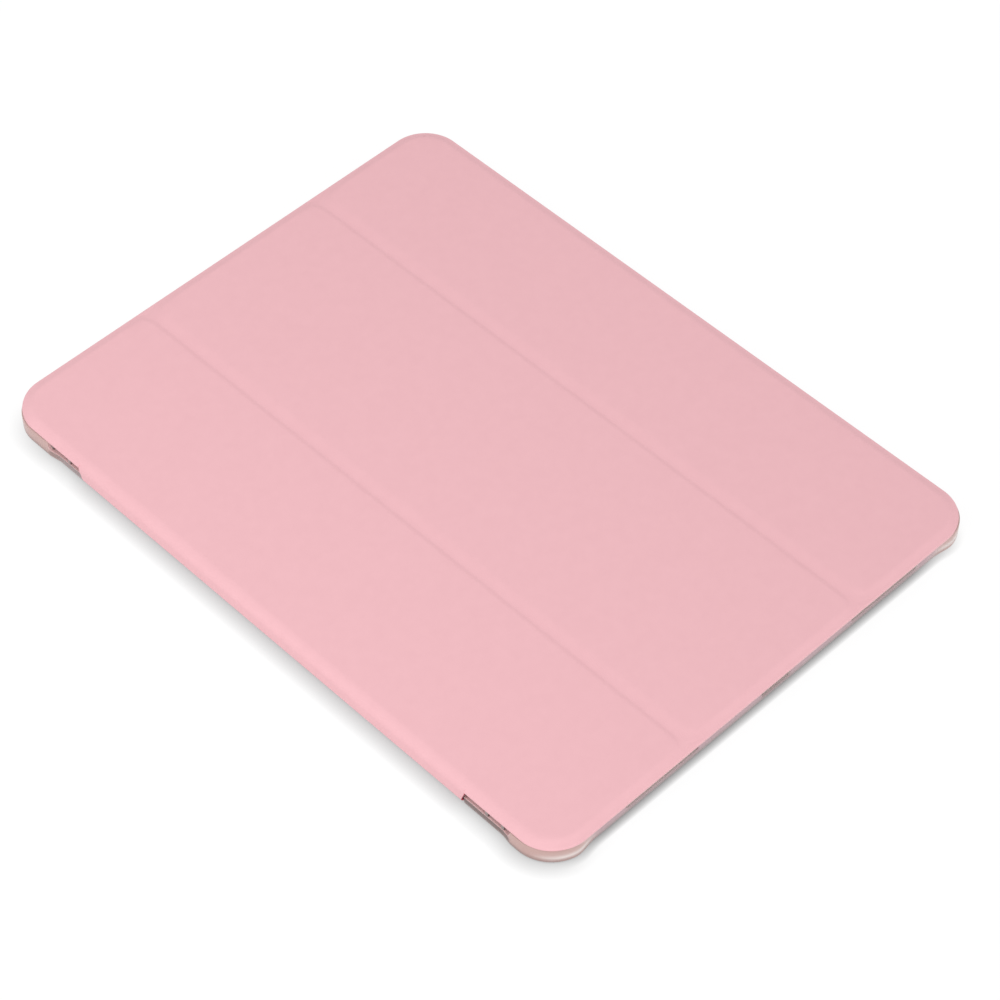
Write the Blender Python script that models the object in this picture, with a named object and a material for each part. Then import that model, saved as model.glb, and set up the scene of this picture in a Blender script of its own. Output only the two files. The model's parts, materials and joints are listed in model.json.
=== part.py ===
# Tablet case: a three-panel folding cover hinged on a frosted plastic back shell.
# World metres, +Z up, the closed case rests on z = 0. The spine side is -X and the charging-port side is -Y.
import math

import bpy
from mathutils import Matrix, Vector

MM = 0.001

# Tablet that the case is made for
TABLET_L = 247.6
TABLET_W = 178.5
TABLET_T = 5.9
TABLET_R = 18.0
POCKET_CLEAR = 0.25

# Layers of the cover, and the thin glue gaps between them
LEATHER = 0.5
LINING = 0.4
BOARD = 0.9
GLUE = 0.05
TAPE = 0.1

# Cover outline: how far it reaches past the tablet on the port, top and free sides, and on the spine side
COVER_PAST = 2.95
COVER_PAST_SPINE = 8.55
COVER_R = 13.7
FOLD_1_AT = 60.0
FOLD_2_AT = 137.5

# Grooves, pressed flange and the slope up to the board
STRIP_W = 4.4
CREASE_GAP = 0.2
FLANGE = 3.1
SLOPE = 1.6
SPINE_FLANGE = 1.9
BOARD_IN = 1.35
BOARD_FIT = 0.15
BOARD_R = 3.6

# Spine leather, which bends over the edge and down to the back
SPINE_Y = 88.5
NOTCH = 1.0
NOTCH_R = 0.6
TONGUE_LAP = 0.8
BEND_R = 2.4
LOW_R = 2.8
SPINE_OUT = 0.4
LINING_IN = 0.4
STRIP_REACH = 27.0
TAPE_IN = 1.3

# Back shell: its bumpers pass the cover's edge by BUMP_OUT at the sides and by BUMP_END at the two ends
FLOOR = 1.2
WALL = 1.3
SHELL_FILLET = 1.3
CORNER_EDGE = 0.4
BUMP_OUT = 0.6
BUMP_END = -0.4
BUMP_LEN = 15.5
BUMP_STEP = 6.0
COVER_GAP = 0.2
CORNER_DROP = 0.7
WALL_DROP = 1.0
LEDGE = 3.6
LEDGE_IN = 0.15
LEDGE_HALF = 108.3
LEDGE_BACK = 1.3
SPINE_WALL = 1.0
RIB = 1.2
RIB_AT = (
    -105.0, -98.2, -85.0, -68.0, -51.0, -34.0, -17.0, 0.0, 17.0, 34.0, 51.0, 68.0, 85.0, 95.3, 104.0,
)
BEAD = 0.4
BEAD_UP = 4.25
FIT = 0.4
CUT_IN = 6.0

# Cut-outs in the shell, measured from the tablet's middle
SPEAKER = (34.5, 66.0)
PORT_HALF = 6.7
POWER = (68.5, 79.0)
VOLUME = (70.0, 100.0)
SPEAKER_Z = 2.6
PORT_Z = 2.2
CAMERA_AT = (68.0, 103.0)
CAMERA_SIZE = (27.0, 27.0)
CAMERA_R = 8.0

# Magnets in panel 3 and the steel keeper in panel 1 that they hold when the cover is rolled into a stand
MAGNET = (4.0, 14.0, 0.7)
MAGNET_Y = (-96.0, -38.0, 38.0, 96.0)
MAGNET_IN = 4.2
KEEPER = (8.0, 150.0, 0.6)
KEEPER_IN = 4.2
MAGNET_FIT = 0.15

# Heights and edges that follow from the values above
COVER_Z = FLOOR + TABLET_T + COVER_GAP
LINING_TOP = COVER_Z + LINING
FLANGE_Z = LINING_TOP + GLUE
FLANGE_TOP = FLANGE_Z + LEATHER
BOARD_TOP = FLANGE_Z + BOARD
PLATE_Z = BOARD_TOP + GLUE
TOP = PLATE_Z + LEATHER
COVER_W = TABLET_W + COVER_PAST + COVER_PAST_SPINE
COVER_X = COVER_W / 2
COVER_Y = TABLET_L / 2 + COVER_PAST
TABLET_X = COVER_X - COVER_PAST - TABLET_W / 2
FOLD_1 = -COVER_X + FOLD_1_AT
FOLD_2 = -COVER_X + FOLD_2_AT
BEND_X = -COVER_X - SPINE_OUT + BEND_R
BEND_TOP = FLANGE_TOP - BEND_R
LOW_X = -COVER_X - SPINE_OUT + LOW_R
SHELL_X = COVER_X + BUMP_OUT
SHELL_Y = COVER_Y + BUMP_END
POCKET_X = TABLET_W / 2 + POCKET_CLEAR
POCKET_Y = TABLET_L / 2 + POCKET_CLEAR
CORNER_TOP = COVER_Z - CORNER_DROP
WALL_TOP = COVER_Z - WALL_DROP
RECESS = LEATHER + GLUE + TAPE + GLUE


def clear_scene():
    for obj in list(bpy.data.objects):
        bpy.data.objects.remove(obj, do_unlink=True)


def material(name, colour, rough, alpha=1.0, metal=0.0):
    mat = bpy.data.materials.new(name)
    mat.use_nodes = True
    bsdf = mat.node_tree.nodes["Principled BSDF"]
    bsdf.inputs["Base Color"].default_value = (*colour, 1.0)
    bsdf.inputs["Roughness"].default_value = rough
    bsdf.inputs["Metallic"].default_value = metal
    bsdf.inputs["Alpha"].default_value = alpha
    return mat


def solid(name, points, faces):
    mesh = bpy.data.meshes.new(name)
    mesh.from_pydata([(x * MM, y * MM, z * MM) for x, y, z in points], [], faces)
    mesh.validate()
    obj = bpy.data.objects.new(name, mesh)
    bpy.context.scene.collection.objects.link(obj)
    return obj


# Rings of points at rising heights, counter-clockwise from above, become one closed body
def loft(name, rings):
    points = []
    faces = []
    n = len(rings[0][0])
    for outline, z in rings:
        points += [(x, y, z) for x, y in outline]
    faces.append(tuple(range(n - 1, -1, -1)))
    for k in range(len(rings) - 1):
        a = k * n
        b = a + n
        for i in range(n):
            j = (i + 1) % n
            faces.append((a + i, a + j, b + j, b + i))
    last = (len(rings) - 1) * n
    faces.append(tuple(range(last, last + n)))
    return solid(name, points, faces)


def prism(name, outline, z0, z1):
    return loft(name, [(outline, z0), (outline, z1)])


def block(name, x0, x1, y0, y1, z0, z1):
    return prism(name, [(x0, y0), (x1, y0), (x1, y1), (x0, y1)], z0, z1)


# A profile of (x, z) points, counter-clockwise seen from the port side, swept along Y
def sweep(name, profile, y0, y1):
    n = len(profile)
    points = [(x, y0, z) for x, z in profile] + [(x, y1, z) for x, z in profile]
    faces = [tuple(range(n)), tuple(range(2 * n - 1, n - 1, -1))]
    for i in range(n):
        j = (i + 1) % n
        faces.append((j, i, n + i, n + j))
    return solid(name, points, faces)


# Corner radii run counter-clockwise from the corner at x1, y0
def rounded(x0, x1, y0, y1, radii, steps=9):
    corners = ((x1, y0, -90), (x1, y1, 0), (x0, y1, 90), (x0, y0, 180))
    out = []
    for (x, y, start), r in zip(corners, radii):
        if r == 0:
            out.append((x, y))
            continue
        cx = x - r if x == x1 else x + r
        cy = y - r if y == y1 else y + r
        for k in range(steps + 1):
            a = math.radians(start + 90 * k / steps)
            out.append((cx + r * math.cos(a), cy + r * math.sin(a)))
    return out


def arc(cx, cz, r, first, last, steps=6):
    angles = [first + (last - first) * k / steps for k in range(steps + 1)]
    return [(cx + r * math.cos(math.radians(a)), cz + r * math.sin(math.radians(a))) for a in angles]


def boolean(obj, other, operation):
    mod = obj.modifiers.new("fit", "BOOLEAN")
    mod.operation = operation
    mod.solver = "EXACT"
    mod.object = other
    bpy.context.view_layer.update()
    graph = bpy.context.evaluated_depsgraph_get()
    mesh = bpy.data.meshes.new_from_object(obj.evaluated_get(graph))
    obj.modifiers.clear()
    obj.data = mesh
    bpy.data.objects.remove(other, do_unlink=True)
    return obj


def cut(obj, *others):
    for other in others:
        boolean(obj, other, "DIFFERENCE")
    return obj


def join(obj, *others):
    for other in others:
        boolean(obj, other, "UNION")
    return obj


def finish(obj, name, mat):
    obj.name = name
    obj.data.name = name
    obj.data.materials.clear()
    obj.data.materials.append(mat)
    return obj


clear_scene()

leather_mat = material("pink_leather", (0.86, 0.50, 0.54), 0.55)
lining_mat = material("microfibre", (0.80, 0.62, 0.62), 0.9)
shell_mat = material("frosted_plastic", (0.82, 0.74, 0.71), 0.45, alpha=0.75)
board_mat = material("stiff_board", (0.55, 0.52, 0.48), 0.8)
magnet_mat = material("plated_magnet", (0.62, 0.62, 0.63), 0.3, metal=1.0)
tape_mat = material("adhesive_tape", (0.88, 0.86, 0.80), 0.6)


# The shell's outline: square bumpers at the four corners, the straight walls set in between them
def shell_outline(inset):
    end_in = SHELL_Y - POCKET_Y - WALL
    free_in = SHELL_X - TABLET_X - POCKET_X - WALL
    spine_in = BUMP_OUT + LEDGE_IN
    x, y = SHELL_X - inset, SHELL_Y - inset
    r = COVER_R + BUMP_OUT - inset
    shares = [(k / 8, (k / 8) ** 2 * (3 - 2 * k / 8)) for k in range(9)]

    def run(half, depth):
        start = half - BUMP_LEN
        away = [(start - BUMP_STEP * t, depth * s) for t, s in shares]
        return away + [(-u, d) for u, d in reversed(away)]

    arcs = rounded(-x, x, -y, y, (r, r, r, r), 10)
    quarter = len(arcs) // 4
    out = arcs[:quarter]
    out += [(x - d, -u) for u, d in run(SHELL_Y, free_in)]
    out += arcs[quarter:2 * quarter]
    out += [(u, y - d) for u, d in run(SHELL_X, end_in)]
    out += arcs[2 * quarter:3 * quarter]
    out += [(d - x, u) for u, d in run(SHELL_Y, spine_in)]
    out += arcs[3 * quarter:]
    out += [(-u, d - y) for u, d in run(SHELL_X, end_in)]
    return out


def build_shell():
    rings = []
    for k in range(7):
        a = math.radians(15 * k)
        rings.append((shell_outline(SHELL_FILLET * (1 - math.sin(a))), SHELL_FILLET * (1 - math.cos(a))))
    rings.append((shell_outline(0.0), CORNER_TOP - CORNER_EDGE))
    rings.append((shell_outline(CORNER_EDGE), CORNER_TOP))
    shell = loft("back_shell", rings)

    far = SHELL_X + SHELL_Y
    x0, x1 = TABLET_X - POCKET_X, TABLET_X + POCKET_X

    def pocket_ring(bead):
        r = TABLET_R - bead
        return rounded(x0 + bead, x1 - bead, bead - POCKET_Y, POCKET_Y - bead, (r, r, r, r), 10)

    grip = FLOOR + BEAD_UP
    pocket = loft("pocket", [
        (pocket_ring(0.0), FLOOR),
        (pocket_ring(0.0), grip),
        (pocket_ring(BEAD), grip + BEAD),
        (pocket_ring(BEAD), grip + 2 * BEAD),
        (pocket_ring(0.0), grip + 3 * BEAD),
        (pocket_ring(0.0), TOP),
    ])
    cut(shell, pocket)

    # Camera hole through the floor
    cx, cy = TABLET_X + CAMERA_AT[0], CAMERA_AT[1]
    hx, hy = CAMERA_SIZE[0] / 2, CAMERA_SIZE[1] / 2
    hole = rounded(cx - hx, cx + hx, cy - hy, cy + hy, (CAMERA_R,) * 4, 8)
    cut(shell, prism("camera", hole, -1.0, FLOOR + 1.0))

    # Shallow recess for the leather, round the edge of the ledge and across the back to its glued end
    inner = BEND_X + STRIP_REACH + FIT
    side = LEDGE_BACK - COVER_X - SPINE_OUT
    r = LOW_R - RECESS
    turn = 180 + math.degrees(math.acos((LOW_X - side) / r))
    wrap = [(-far, -1.0), (inner, -1.0), (inner, RECESS)] + arc(LOW_X, LOW_R, r, 270, turn)
    wrap += [(side, TOP), (-far, TOP)]
    cut(shell, sweep("recess", wrap, -SPINE_Y - FIT, SPINE_Y + FIT))

    # Straight walls stop a little below the corners
    run_x = SHELL_X - BUMP_LEN - BUMP_STEP
    run_y = SHELL_Y - BUMP_LEN - BUMP_STEP
    cut(shell, block("lower_y", -run_x, run_x, -far, far, WALL_TOP, TOP))
    cut(shell, block("lower_x", -far, far, -run_y, run_y, WALL_TOP, TOP))

    # Open cells between the ribs of the ledge on the spine side
    wall_x = x0 - SPINE_WALL
    edges = [-LEDGE_HALF] + [e for y in RIB_AT for e in (y - RIB / 2, y + RIB / 2)] + [LEDGE_HALF]
    for k in range(0, len(edges), 2):
        cut(shell, block("cell", -far, wall_x, edges[k], edges[k + 1], LEDGE, TOP))

    # Speaker, port and button cut-outs
    low, high = SPEAKER
    edge = POCKET_Y - CUT_IN
    for s in (-1, 1):
        for a, b in ((TABLET_X - high, TABLET_X - low), (TABLET_X + low, TABLET_X + high)):
            y0, y1 = sorted((s * edge, s * far))
            cut(shell, block("speaker", a, b, y0, y1, SPEAKER_Z, TOP))
    cut(shell, block("port", TABLET_X - PORT_HALF, TABLET_X + PORT_HALF, -far, -edge, PORT_Z, TOP))
    cut(shell, block("power", TABLET_X + POWER[0], TABLET_X + POWER[1], edge, far, SPEAKER_Z, TOP))
    cut(shell, block("volume", x1 - CUT_IN, far, VOLUME[0], VOLUME[1], SPEAKER_Z, TOP))

    return finish(shell, "back_shell", shell_mat)


# One board tray: a flat flange with a raised, sloped field pressed up over the board
def foot(x0, x1, y, radii):
    return rounded(x0, x1, -y, y, radii, 7)


def field(x0, x1, left, right, corner_left, corner_right):
    y = COVER_Y - FLANGE
    return dict(x0=x0 + left, x1=x1 - right, y=y, left=corner_left, right=corner_right)


def field_ring(f, inset):
    r0 = max(f["right"] - inset, 0.6)
    r1 = max(f["left"] - inset, 0.6)
    radii = (r0, r0, r1, r1)
    return foot(f["x0"] + inset, f["x1"] - inset, f["y"] - inset, radii)


def leather_tray(name, outline, f):
    tray = prism(name, outline, FLANGE_Z, FLANGE_TOP)
    lift = TOP - FLANGE_TOP
    join(tray, loft("raised", [
        (field_ring(f, 0.0), FLANGE_TOP - LEATHER / 2),
        (field_ring(f, 0.0), FLANGE_TOP),
        (field_ring(f, SLOPE * 0.75), FLANGE_TOP + lift * 0.82),
        (field_ring(f, SLOPE * 1.2), FLANGE_TOP + lift),
    ]))
    cut(tray, prism("cavity", field_ring(f, BOARD_IN - BOARD_FIT), FLANGE_Z - 1.0, PLATE_Z))
    return tray


def board_plate(name, f):
    return prism(name, field_ring(f, BOARD_IN), FLANGE_Z, BOARD_TOP)


HALF_STRIP = STRIP_W / 2
GAP = CREASE_GAP / 2
crease = {
    "fold_1_a": FOLD_1 - HALF_STRIP,
    "fold_1_b": FOLD_1 + HALF_STRIP,
    "fold_2_a": FOLD_2 - HALF_STRIP,
    "fold_2_b": FOLD_2 + HALF_STRIP,
}
P1 = (-COVER_X, crease["fold_1_a"] - GAP)
P2 = (crease["fold_1_b"] + GAP, crease["fold_2_a"] - GAP)
P3 = (crease["fold_2_b"] + GAP, COVER_X)
OUTER_R = COVER_R - FLANGE
LIP = GAP * 2
f1 = field(P1[0], P1[1], SPINE_FLANGE, LIP, OUTER_R + FLANGE - SPINE_FLANGE, BOARD_R)
f2 = field(P2[0], P2[1], LIP, LIP, BOARD_R, BOARD_R)
f3 = field(P3[0], P3[1], LIP, FLANGE, BOARD_R, OUTER_R)


# Half of the bend over the spine, from the flat panel to the 45 degree plane less half the crease gap
def bend_half(inner, outer):
    half = math.degrees(GAP / BEND_R)
    top = BEND_TOP + outer
    low = BEND_TOP + inner
    keep = BEND_X + TONGUE_LAP
    out = arc(BEND_X, BEND_TOP, outer, 90, 135 - half)
    back = arc(BEND_X, BEND_TOP, inner, 135 - half, 90)
    return [(keep, top)] + out + back + [(keep, low)]


def notch_cut():
    reach = SPINE_Y + NOTCH
    shape = rounded(-2 * COVER_X, BEND_X, -reach, reach, (NOTCH_R, NOTCH_R, 0, 0), 5)
    return prism("notch", shape, 0.0, TOP + LEATHER)


def build_panel_1():
    outline = rounded(P1[0], P1[1], -COVER_Y, COVER_Y, (0, 0, COVER_R, COVER_R))
    tray = leather_tray("panel_1_leather", outline, f1)
    cut(tray, notch_cut())
    join(tray, sweep("tongue", bend_half(BEND_R - LEATHER, BEND_R), -SPINE_Y, SPINE_Y))
    finish(tray, "panel_1_leather", leather_mat)

    board = board_plate("panel_1_board", f1)
    kx = f1["x0"] + BOARD_IN + KEEPER_IN
    hx, hy = KEEPER[0] / 2 + MAGNET_FIT, KEEPER[1] / 2 + MAGNET_FIT
    cut(board, block("seat", kx - hx, kx + hx, -hy, hy, 0.0, TOP))
    finish(board, "panel_1_board", board_mat)
    mid = FLANGE_Z + BOARD / 2
    keeper = block(
        "panel_1_keeper", kx - KEEPER[0] / 2, kx + KEEPER[0] / 2, -KEEPER[1] / 2, KEEPER[1] / 2,
        mid - KEEPER[2] / 2, mid + KEEPER[2] / 2,
    )
    finish(keeper, "panel_1_keeper", magnet_mat)

    r = COVER_R - LINING_IN
    shape = rounded(P1[0] + LINING_IN, P1[1], -COVER_Y + LINING_IN, COVER_Y - LINING_IN, (0, 0, r, r))
    lining = prism("panel_1_lining", shape, COVER_Z, LINING_TOP)
    cut(lining, notch_cut())
    r = BEND_R - LEATHER - GLUE
    y = SPINE_Y - LINING_IN
    join(lining, sweep("tongue", bend_half(r - LINING, r), -y, y))
    finish(lining, "panel_1_lining", lining_mat)


def build_panel_2():
    outline = rounded(P2[0], P2[1], -COVER_Y, COVER_Y, (0, 0, 0, 0))
    finish(leather_tray("panel_2_leather", outline, f2), "panel_2_leather", leather_mat)
    finish(board_plate("panel_2_board", f2), "panel_2_board", board_mat)
    y = COVER_Y - LINING_IN
    shape = rounded(P2[0], P2[1], -y, y, (0, 0, 0, 0))
    finish(prism("panel_2_lining", shape, COVER_Z, LINING_TOP), "panel_2_lining", lining_mat)


def build_panel_3():
    outline = rounded(P3[0], P3[1], -COVER_Y, COVER_Y, (COVER_R, COVER_R, 0, 0))
    finish(leather_tray("panel_3_leather", outline, f3), "panel_3_leather", leather_mat)
    board = board_plate("panel_3_board", f3)
    mx = f3["x1"] - BOARD_IN - MAGNET_IN
    mid = FLANGE_Z + BOARD / 2
    hx, hy = MAGNET[0] / 2, MAGNET[1] / 2
    for n, y in enumerate(MAGNET_Y, 1):
        fx, fy = hx + MAGNET_FIT, hy + MAGNET_FIT
        cut(board, block("seat", mx - fx, mx + fx, y - fy, y + fy, 0.0, TOP))
        low, high = mid - MAGNET[2] / 2, mid + MAGNET[2] / 2
        magnet = block(f"panel_3_magnet_{n}", mx - hx, mx + hx, y - hy, y + hy, low, high)
        finish(magnet, f"panel_3_magnet_{n}", magnet_mat)
    finish(board, "panel_3_board", board_mat)
    r = COVER_R - LINING_IN
    y = COVER_Y - LINING_IN
    shape = rounded(P3[0], P3[1] - LINING_IN, -y, y, (r, r, 0, 0))
    finish(prism("panel_3_lining", shape, COVER_Z, LINING_TOP), "panel_3_lining", lining_mat)


# The thin leather at the bottom of each groove, between its two creases
def build_fold(name, at):
    x0, x1 = at - HALF_STRIP + GAP, at + HALF_STRIP - GAP
    skin = block(f"{name}_leather", x0, x1, -COVER_Y, COVER_Y, FLANGE_Z, FLANGE_TOP)
    finish(skin, f"{name}_leather", leather_mat)
    y = COVER_Y - LINING_IN
    under = block(f"{name}_lining", x0, x1, -y, y, COVER_Z, LINING_TOP)
    finish(under, f"{name}_lining", lining_mat)


def build_spine():
    half = math.degrees(GAP / BEND_R)
    low_half = math.degrees(GAP / LOW_R)
    r1 = BEND_R - LEATHER
    r0 = LOW_R - LEATHER
    outer = arc(BEND_X, BEND_TOP, BEND_R, 135 + half, 180) + arc(LOW_X, LOW_R, LOW_R, 180, 225 - low_half)
    inner = arc(LOW_X, LOW_R, r0, 225 - low_half, 180) + arc(BEND_X, BEND_TOP, r1, 180, 135 + half)
    finish(sweep("spine_leather", outer + inner, -SPINE_Y, SPINE_Y), "spine_leather", leather_mat)
    r2 = r1 - GLUE
    r3 = r2 - LINING
    low = LOW_R + GAP
    outer = arc(BEND_X, BEND_TOP, r2, 135 + half, 180) + [(BEND_X - r2, low)]
    inner = [(BEND_X - r3, low)] + arc(BEND_X, BEND_TOP, r3, 180, 135 + half)
    y = SPINE_Y - LINING_IN
    finish(sweep("spine_lining", outer + inner, -y, y), "spine_lining", lining_mat)


def build_back_strip():
    half = math.degrees(GAP / LOW_R)
    end = BEND_X + STRIP_REACH
    outer = arc(LOW_X, LOW_R, LOW_R, 225 + half, 270) + [(end, 0.0), (end, LEATHER)]
    inner = arc(LOW_X, LOW_R, LOW_R - LEATHER, 270, 225 + half)
    finish(sweep("back_strip", outer + inner, -SPINE_Y, SPINE_Y), "back_strip", leather_mat)
    x0 = LOW_X + TAPE_IN
    y = SPINE_Y - 1.0
    tape = block("strip_adhesive", x0, end - 1.0, -y, y, LEATHER + GLUE, LEATHER + GLUE + TAPE)
    finish(tape, "strip_adhesive", tape_mat)


build_shell()
build_back_strip()
build_spine()
build_panel_1()
build_fold("fold_1", FOLD_1)
build_panel_2()
build_fold("fold_2", FOLD_2)
build_panel_3()

# An empty on each joint's axis carries the pieces that turn about it and the next axis along the cover
BEND_45 = BEND_R * math.sqrt(0.5)
LOW_45 = LOW_R * math.sqrt(0.5)
chain = (
    ("spine_lower_axis", LOW_X - LOW_45, LOW_R - LOW_45, "spine"),
    ("spine_upper_axis", BEND_X - BEND_45, BEND_TOP + BEND_45, "panel_1"),
    ("fold_1_a_axis", crease["fold_1_a"], FLANGE_TOP, "fold_1"),
    ("fold_1_b_axis", crease["fold_1_b"], FLANGE_TOP, "panel_2"),
    ("fold_2_a_axis", crease["fold_2_a"], FLANGE_TOP, "fold_2"),
    ("fold_2_b_axis", crease["fold_2_b"], FLANGE_TOP, "panel_3"),
)
carrier = None
for name, x, z, body in chain:
    axis = bpy.data.objects.new(name, None)
    axis.empty_display_type = "SINGLE_ARROW"
    axis.empty_display_size = 10 * MM
    bpy.context.scene.collection.objects.link(axis)
    spot = Vector((x * MM, 0.0, z * MM))
    axis.location = spot - carrier[1] if carrier else spot
    axis.parent = carrier[0] if carrier else None
    for obj in list(bpy.data.objects):
        if obj.type == "MESH" and obj.name.startswith(body + "_"):
            obj.data.transform(Matrix.Translation(-spot))
            obj.parent = axis
    carrier = (axis, spot)
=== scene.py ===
import json
import math

import bmesh
import bpy
import numpy as np
from mathutils import Matrix, Vector


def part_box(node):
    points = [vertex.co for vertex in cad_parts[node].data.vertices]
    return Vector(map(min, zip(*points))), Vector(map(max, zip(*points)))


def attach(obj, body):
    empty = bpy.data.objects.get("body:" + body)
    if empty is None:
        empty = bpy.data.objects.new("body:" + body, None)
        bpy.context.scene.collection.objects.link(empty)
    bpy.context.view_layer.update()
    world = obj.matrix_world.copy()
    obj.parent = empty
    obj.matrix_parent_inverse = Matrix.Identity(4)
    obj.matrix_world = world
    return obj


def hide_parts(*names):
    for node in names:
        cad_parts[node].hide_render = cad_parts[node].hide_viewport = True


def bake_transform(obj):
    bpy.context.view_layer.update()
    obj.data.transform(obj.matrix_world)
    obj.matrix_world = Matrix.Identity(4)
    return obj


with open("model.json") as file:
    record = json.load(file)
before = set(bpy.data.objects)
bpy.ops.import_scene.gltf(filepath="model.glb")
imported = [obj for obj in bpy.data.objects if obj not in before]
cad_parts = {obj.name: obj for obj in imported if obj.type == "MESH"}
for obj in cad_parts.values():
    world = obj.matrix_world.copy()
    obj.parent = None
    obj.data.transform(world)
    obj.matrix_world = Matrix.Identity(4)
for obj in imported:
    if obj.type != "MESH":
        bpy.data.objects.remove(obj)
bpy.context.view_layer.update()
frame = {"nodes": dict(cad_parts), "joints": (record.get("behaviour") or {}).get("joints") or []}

MM = 0.001


# Back shell: one injection-moulded tray of frosted, slightly translucent plastic that clips round the tablet.
# Its corners are thick bumpers that taper into thin walls with cut-outs; a ledge runs along the spine side.
# The mould leaves small round edges everywhere, and the plastic looks greyer where it is thin.
SHELL_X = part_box("back_shell")[1].x / MM
SHELL_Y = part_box("back_shell")[1].y / MM
BUMP_R = {(-1, -1): 14.3, (-1, 1): 12.6, (1, -1): 12.6, (1, 1): 12.6}
END_WALL_IN = 1.0
FREE_WALL_IN = 2.0
LEDGE_IN = 0.75
FOOT_R = 1.3
CORNER_TOP = 6.5
WALL_LOWER = 0.25
LEDGE_TOP = 3.6
LEDGE_LOW = -108.3
LEDGE_HIGH = 104.6
SPINE_WALL = 1.0
POCKET_MID = 2.8
POCKET_X = 89.5
POCKET_Y = 124.05
POCKET_R = 18.0
POCKET_FLOOR = 1.2
BEAD = 0.35
EDGE_R = 0.35
INNER_R = 0.3
SPEAKERS = [(37.3, 68.8, 2.6), (-63.2, -31.7, 2.6)]
SIDES = {
    "free": dict(half=SHELL_Y, ends=[(1, -1), (1, 1)], sink=FREE_WALL_IN, starts=(10.5, 10.5), run=9.0),
    "top": dict(half=SHELL_X, ends=[(-1, 1), (1, 1)], sink=END_WALL_IN, starts=(10.5, 10.5), run=9.0),
    "spine": dict(half=SHELL_Y, ends=[(-1, -1), (-1, 1)], sink=LEDGE_IN, starts=(16.5, 21.5), run=5.5),
    "port": dict(half=SHELL_X, ends=[(-1, -1), (1, -1)], sink=END_WALL_IN, starts=(10.5, 10.5), run=9.0),
}
CUTS = {
    "free": [(70.0, 100.0, 2.6)],
    "top": SPEAKERS + [(71.3, 80.0, 2.6)],
    "spine": [],
    "port": SPEAKERS + [(-3.9, 9.5, 2.2)],
}


def smoothstep(t):
    t = np.clip(t, 0.0, 1.0)
    return t * t * (3.0 - 2.0 * t)


def wall_share(side, u):
    """Zero on the bumper, one on the straight wall between the bumpers."""
    shape = SIDES[side]
    start = shape["starts"][0 if u < 0.0 else 1]
    return float(smoothstep((shape["half"] - start - abs(u)) / shape["run"]))


def straight_ends(side):
    """Where the corner arcs at the two ends of a side begin."""
    shape = SIDES[side]
    low, high = [shape["half"] - BUMP_R[corner] for corner in shape["ends"]]
    return -low, high


def side_stations(side):
    shape = SIDES[side]
    first, last = straight_ends(side)
    places = list(np.linspace(first, last, 45))
    for s, start in zip((-1, 1), shape["starts"]):
        places += [s * (shape["half"] - start - shape["run"] * k / 16) for k in range(17)]
    ends = [e for a, b, z in CUTS[side] for e in (a, b)]
    if side == "spine":
        ends = [LEDGE_LOW, LEDGE_HIGH]
    for e in ends:
        places += list(np.linspace(e - 0.9, e + 0.9, 11))
    kept = []
    for u in sorted(places):
        if first + 0.2 < u < last - 0.2 and (not kept or u - kept[-1] > 0.12):
            kept.append(u)
    forward = side in ("free", "port")
    return [(side, u) for u in (kept if forward else reversed(kept))]


def arc_stations(sx, sy, first):
    return [((sx, sy), first + 90.0 * k / 28) for k in range(29)]


stations = arc_stations(1, -1, -90) + side_stations("free") + arc_stations(1, 1, 0) + side_stations("top")
stations += arc_stations(-1, 1, 90) + side_stations("spine") + arc_stations(-1, -1, 180) + side_stations("port")


def outer(station, inset):
    side, u = station
    if isinstance(side, tuple):
        a = math.radians(u)
        r = BUMP_R[side]
        x = side[0] * (SHELL_X - r) + (r - inset) * math.cos(a)
        y = side[1] * (SHELL_Y - r) + (r - inset) * math.sin(a)
        sink_x = FREE_WALL_IN * wall_share("free", y) if side[0] > 0 else 0.0
        sink_y = END_WALL_IN * wall_share("port", x)
        return Vector((x - side[0] * sink_x, y - side[1] * sink_y))
    sink = inset + SIDES[side]["sink"] * wall_share(side, u)
    return {
        "free": Vector((SHELL_X - sink, u)), "top": Vector((u, SHELL_Y - sink)),
        "spine": Vector((sink - SHELL_X, u)), "port": Vector((u, sink - SHELL_Y)),
    }[side]


def squeeze(side, u, low, high, end_low, end_high):
    """Keep the middle of a side square to the wall and lead its ends on to the pocket's own corner arcs."""
    first, last = straight_ends(side)
    if u < low:
        return low + (u - low) * (end_low - low) / (first - low)
    if u > high:
        return high + (u - high) * (end_high - high) / (last - high)
    return u


def inner(station, inset):
    side, u = station
    flat_x = POCKET_X - POCKET_R
    flat_y = POCKET_Y - POCKET_R
    if isinstance(side, tuple):
        r = POCKET_R - inset
        a = math.radians(u)
        return Vector((POCKET_MID + side[0] * flat_x + r * math.cos(a), side[1] * flat_y + r * math.sin(a)))
    x, y = POCKET_X - inset, POCKET_Y - inset
    if side in ("free", "spine"):
        v = squeeze(side, u, -101.5, 101.5, -flat_y, flat_y)
        return Vector((POCKET_MID + (x if side == "free" else -x), v))
    v = squeeze(side, u, -64.5, 70.2, POCKET_MID - flat_x, POCKET_MID + flat_x)
    return Vector((v, y if side == "top" else -y))


def wall_heights(station):
    """Height of the outer edge, height of the inner wall, and one where the ledge is."""
    side, u = station
    if isinstance(side, tuple):
        return CORNER_TOP, CORNER_TOP, 0.0
    top = CORNER_TOP - WALL_LOWER * wall_share(side, u)
    for a, b, z in CUTS[side]:
        past = max(a - u, u - b)
        top = min(top, z + (top - z) * float(smoothstep(0.5 + past / 1.5)))
    if side != "spine":
        return top, top, 0.0
    ledge = float(smoothstep(0.5 + min(u - LEDGE_LOW, LEDGE_HIGH - u) / 1.5))
    return top + (LEDGE_TOP - top) * ledge, top, ledge


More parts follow.
